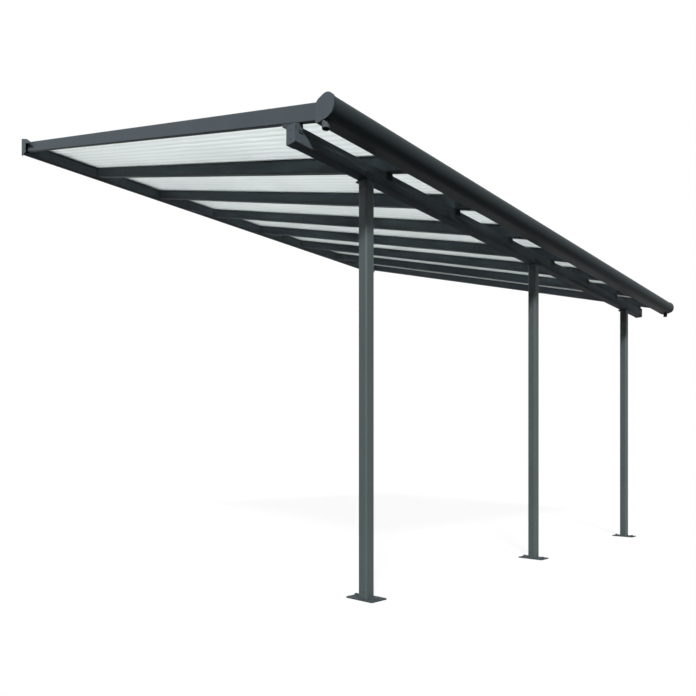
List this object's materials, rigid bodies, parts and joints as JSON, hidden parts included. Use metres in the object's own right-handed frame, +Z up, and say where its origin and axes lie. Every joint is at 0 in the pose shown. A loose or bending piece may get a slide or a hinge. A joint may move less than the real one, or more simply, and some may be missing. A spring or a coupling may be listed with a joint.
{
  "type": "wall-mounted carport",
  "caption": "Lean-to carport: twin-wall sheets between sloping rafters, hung from a wall profile and carried by a beam on square posts, with a rounded gutter and spouts.",
  "frame": {"origin": "middle of the wall profile's back face, where it meets the wall", "axes": "+X along the wall, +Y into the wall, +Z up; the gutter is at -Y"},
  "size_m": [4.348, 4.054, 3.5],
  "materials": {
    "frame": "satin powder coat, dark grey",
    "bracket": "satin powder coat, dark grey",
    "cap": "moulded plastic, dark grey",
    "sheet": "clear twin-wall sheet with a faint green tint"
  },
  "bodies": {
    "root": {"wall_profile": "frame", "wall_cap_left": "cap", "wall_cap_right": "cap", "rafter_1": "frame", "rafter_2": "frame", "rafter_3": "frame", "rafter_4": "frame", "rafter_5": "frame", "rafter_6": "frame", "rafter_7": "frame", "rafter_8": "frame", "roof_sheet_1": "sheet", "roof_sheet_2": "sheet", "roof_sheet_3": "sheet", "roof_sheet_4": "sheet", "roof_sheet_5": "sheet", "roof_sheet_6": "sheet", "roof_sheet_7": "sheet", "gutter": "frame", "gutter_head_left": "cap", "gutter_head_right": "cap", "beam": "frame", "beam_cap_left": "cap", "beam_cap_right": "cap", "rafter_bracket_1": "bracket", "rafter_bracket_2": "bracket", "rafter_bracket_3": "bracket", "rafter_bracket_4": "bracket", "rafter_bracket_5": "bracket", "rafter_bracket_6": "bracket", "rafter_bracket_7": "bracket", "rafter_bracket_8": "bracket", "post_1": "frame", "post_2": "frame", "post_3": "frame", "post_foot_1": "bracket", "post_foot_2": "bracket", "post_foot_3": "bracket", "post_head_1": "bracket", "post_head_2": "bracket", "post_head_3": "bracket"}
  },
  "joints": []
}
